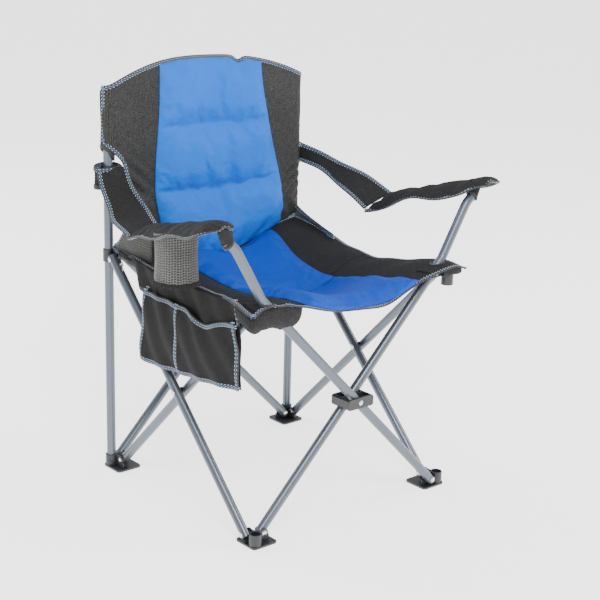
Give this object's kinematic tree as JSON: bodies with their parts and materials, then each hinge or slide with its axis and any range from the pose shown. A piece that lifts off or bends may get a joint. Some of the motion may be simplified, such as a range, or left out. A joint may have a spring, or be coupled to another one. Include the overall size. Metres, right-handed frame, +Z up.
{
  "type": "folding camp chair",
  "caption": "Folding camp chair: padded seat and back on crossed steel tubes that fold into a bundle, fabric armrests, mesh cup holder and side pocket",
  "frame": {"origin": "on the floor, at the middle of the square that the four legs make", "axes": "+Z up, the sitter faces -Y and the sitter's left is +X"},
  "size_m": [0.7831, 0.5387, 0.878],
  "materials": {
    "frame_tube": "satin grey powder coat",
    "black_plastic": "moulded, slightly glossy",
    "rivet_steel": "zinc plated",
    "padded_blue": "padded polyester, plain weave",
    "charcoal_fabric": "coarse heathered polyester weave",
    "mesh": "open woven mesh"
  },
  "bodies": {
    "root": {"foot_rear_right": "black_plastic", "rivets_foot_rear_right": "rivet_steel", "post_right": "frame_tube", "post_cap_right": "black_plastic", "back_rest": "padded_blue", "back_sleeve_right": "charcoal_fabric"},
    "strap_right": {"arm_strap_right": "charcoal_fabric"},
    "right_inner": {"right_tube_inner": "frame_tube", "plugs_right_inner": "black_plastic", "cross_rivet_right": "rivet_steel", "spacer_right": "black_plastic"},
    "right_outer": {"right_tube_outer": "frame_tube", "plugs_right_outer": "black_plastic"},
    "front_right_foot": {"foot_front_right": "black_plastic", "rivets_foot_front_right": "rivet_steel"},
    "right_slider": {"slider_right": "black_plastic", "rivets_slider_right": "rivet_steel", "gusset_right": "mesh"},
    "rear_outer": {"rear_tube_outer": "frame_tube", "plugs_rear_outer": "black_plastic"},
    "rear_inner": {"rear_tube_inner": "frame_tube", "plugs_rear_inner": "black_plastic", "cross_rivet_rear": "rivet_steel", "spacer_rear": "black_plastic"},
    "rear_left_post": {"foot_rear_left": "black_plastic", "rivets_foot_rear_left": "rivet_steel", "post_left": "frame_tube", "post_cap_left": "black_plastic", "back_sleeve_left": "charcoal_fabric"},
    "strap_left": {"arm_strap_left": "charcoal_fabric"},
    "left_slider": {"slider_left": "black_plastic", "rivets_slider_left": "rivet_steel", "gusset_left": "mesh"},
    "left_outer": {"left_tube_outer": "frame_tube", "plugs_left_outer": "black_plastic"},
    "left_inner": {"left_tube_inner": "frame_tube", "plugs_left_inner": "black_plastic", "cross_rivet_left": "rivet_steel", "spacer_left": "black_plastic"},
    "front_left_foot": {"foot_front_left": "black_plastic", "rivets_foot_front_left": "rivet_steel"},
    "front_inner": {"front_tube_inner": "frame_tube", "plugs_front_inner": "black_plastic", "arm_pocket_left": "charcoal_fabric"},
    "front_outer": {"front_tube_outer": "frame_tube", "plugs_front_outer": "black_plastic", "arm_pocket_right": "charcoal_fabric"},
    "front_hub": {"hub": "black_plastic", "hub_pin": "rivet_steel"},
    "corner_right": {"corner_bracket_right": "black_plastic", "rivets_corner_right": "rivet_steel", "side_pocket": "charcoal_fabric"},
    "corner_left": {"corner_bracket_left": "black_plastic", "rivets_corner_left": "rivet_steel"},
    "seat_front_half": {"seat_front": "padded_blue"},
    "seat_rear_half": {"seat_rear": "padded_blue"},
    "arm_right": {"arm_pad_right": "charcoal_fabric", "cup_holder": "mesh"},
    "arm_left": {"arm_pad_left": "charcoal_fabric"}
  },
  "joints": [
    {"name": "fold", "type": "hinge", "parent": "root", "child": "right_inner", "pos_m": [-0.2325, 0.224, 0.02], "axis": [-1, 0, 0], "range_deg": [0, 38], "deforming": ["seat_front", "seat_rear", "back_rest", "back_sleeve_right", "back_sleeve_left", "gusset_right", "gusset_left", "arm_strap_right", "arm_strap_left", "arm_pocket_right", "arm_pocket_left", "arm_pad_right", "arm_pad_left", "cup_holder", "side_pocket"]},
    {"name": "right_cross", "type": "hinge", "parent": "right_inner", "child": "right_outer", "pos_m": [-0.25, 0, 0.247], "axis": [1, 0, 0], "range_deg": [0, 76.02]},
    {"name": "front_right_foot_turn", "type": "hinge", "parent": "right_outer", "child": "front_right_foot", "pos_m": [-0.2555, -0.224, 0.02], "axis": [-1, 0, 0], "range_deg": [0, 38.02]},
    {"name": "right_slider_turn", "type": "hinge", "parent": "right_outer", "child": "right_slider", "pos_m": [-0.2555, 0.224, 0.474], "axis": [-1, 0, 0], "range_deg": [0, 38.02]},
    {"name": "rear_low_turn", "type": "hinge", "parent": "root", "child": "rear_outer", "pos_m": [-0.224, 0.2555, 0.02], "axis": [0, -1, 0], "range_deg": [0, 38.02]},
    {"name": "rear_cross", "type": "hinge", "parent": "rear_outer", "child": "rear_inner", "pos_m": [0, 0.25, 0.247], "axis": [0, 1, 0], "range_deg": [0, 76.02]},
    {"name": "rear_left_post_turn", "type": "hinge", "parent": "rear_inner", "child": "rear_left_post", "pos_m": [0.224, 0.2325, 0.02], "axis": [0, -1, 0], "range_deg": [0, 38.02]},
    {"name": "left_slider_turn", "type": "hinge", "parent": "rear_outer", "child": "left_slider", "pos_m": [0.224, 0.2555, 0.474], "axis": [0, 1, 0], "range_deg": [0, 38.02]},
    {"name": "left_low_turn", "type": "hinge", "parent": "rear_left_post", "child": "left_outer", "pos_m": [0.2555, 0.224, 0.02], "axis": [-1, 0, 0], "range_deg": [0, 38.02]},
    {"name": "left_cross", "type": "hinge", "parent": "left_outer", "child": "left_inner", "pos_m": [0.25, 0, 0.247], "axis": [1, 0, 0], "range_deg": [0, 76.02]},
    {"name": "front_left_foot_turn", "type": "hinge", "parent": "left_inner", "child": "front_left_foot", "pos_m": [0.2325, -0.224, 0.02], "axis": [-1, 0, 0], "range_deg": [0, 38.02]},
    {"name": "front_low_turn", "type": "hinge", "parent": "front_right_foot", "child": "front_inner", "pos_m": [-0.224, -0.2325, 0.02], "axis": [0, -1, 0], "range_deg": [0, 38.02]},
    {"name": "front_cross", "type": "hinge", "parent": "front_inner", "child": "front_outer", "pos_m": [0, -0.25, 0.247], "axis": [0, 1, 0], "range_deg": [0, 76.02]},
    {"name": "hub_turn", "type": "hinge", "parent": "front_inner", "child": "front_hub", "pos_m": [0, -0.244, 0.247], "axis": [0, 1, 0], "range_deg": [0, 38.02]},
    {"name": "corner_right_turn", "type": "hinge", "parent": "front_outer", "child": "corner_right", "pos_m": [-0.224, -0.2555, 0.474], "axis": [0, -1, 0], "range_deg": [0, 38.02]},
    {"name": "corner_left_turn", "type": "hinge", "parent": "front_inner", "child": "corner_left", "pos_m": [0.224, -0.2325, 0.474], "axis": [0, 1, 0], "range_deg": [0, 38.02]},
    {"name": "seat_front_drop", "type": "hinge", "parent": "corner_right", "child": "seat_front_half", "pos_m": [-0.25, -0.25, 0.494], "axis": [-1, 0, 0], "range_deg": [0, 70.89]},
    {"name": "seat_rear_drop", "type": "hinge", "parent": "right_slider", "child": "seat_rear_half", "pos_m": [-0.25, 0.25, 0.494], "axis": [1, 0, 0], "range_deg": [0, 70.89]},
    {"name": "arm_right_drop", "type": "hinge", "parent": "front_outer", "child": "arm_right", "pos_m": [-0.33679, -0.2555, 0.62541], "axis": [-0.9746, -0.2173, -0.0544], "range_deg": [0, 70.37]},
    {"name": "arm_left_drop", "type": "hinge", "parent": "front_inner", "child": "arm_left", "pos_m": [0.33679, -0.2325, 0.62541], "axis": [-0.9882, 0.143, 0.0546], "range_deg": [0, 72.33]},
    {"name": "strap_right_rise", "type": "slide", "parent": "root", "child": "strap_right", "axis": [0, 0, 1], "range_m": [0, 0.0492]},
    {"name": "strap_left_rise", "type": "slide", "parent": "rear_left_post", "child": "strap_left", "axis": [0, 0, 1], "range_m": [0, 0.0492]}
  ],
  "couplings": [
    {"joint": "right_cross", "follows": "fold", "ratio": 2},
    {"joint": "front_right_foot_turn", "follows": "fold", "ratio": 1},
    {"joint": "right_slider_turn", "follows": "fold", "ratio": 1},
    {"joint": "rear_low_turn", "follows": "fold", "ratio": 1},
    {"joint": "rear_cross", "follows": "fold", "ratio": 2},
    {"joint": "rear_left_post_turn", "follows": "fold", "ratio": 1},
    {"joint": "left_slider_turn", "follows": "fold", "ratio": 1},
    {"joint": "left_low_turn", "follows": "fold", "ratio": 1},
    {"joint": "left_cross", "follows": "fold", "ratio": 2},
    {"joint": "front_left_foot_turn", "follows": "fold", "ratio": 1},
    {"joint": "front_low_turn", "follows": "fold", "ratio": 1},
    {"joint": "front_cross", "follows": "fold", "ratio": 2},
    {"joint": "hub_turn", "follows": "fold", "ratio": 1},
    {"joint": "corner_right_turn", "follows": "fold", "ratio": 1},
    {"joint": "corner_left_turn", "follows": "fold", "ratio": 1},
    {"joint": "seat_front_drop", "follows": "fold", "ratio": 1.8651},
    {"joint": "seat_rear_drop", "follows": "fold", "ratio": 1.8651},
    {"joint": "arm_right_drop", "follows": "fold", "ratio": 1.8513},
    {"joint": "arm_left_drop", "follows": "fold", "ratio": 1.9028},
    {"joint": "strap_right_rise", "follows": "fold", "m_per_rad": 0.073881},
    {"joint": "strap_left_rise", "follows": "fold", "m_per_rad": 0.073881}
  ]
}
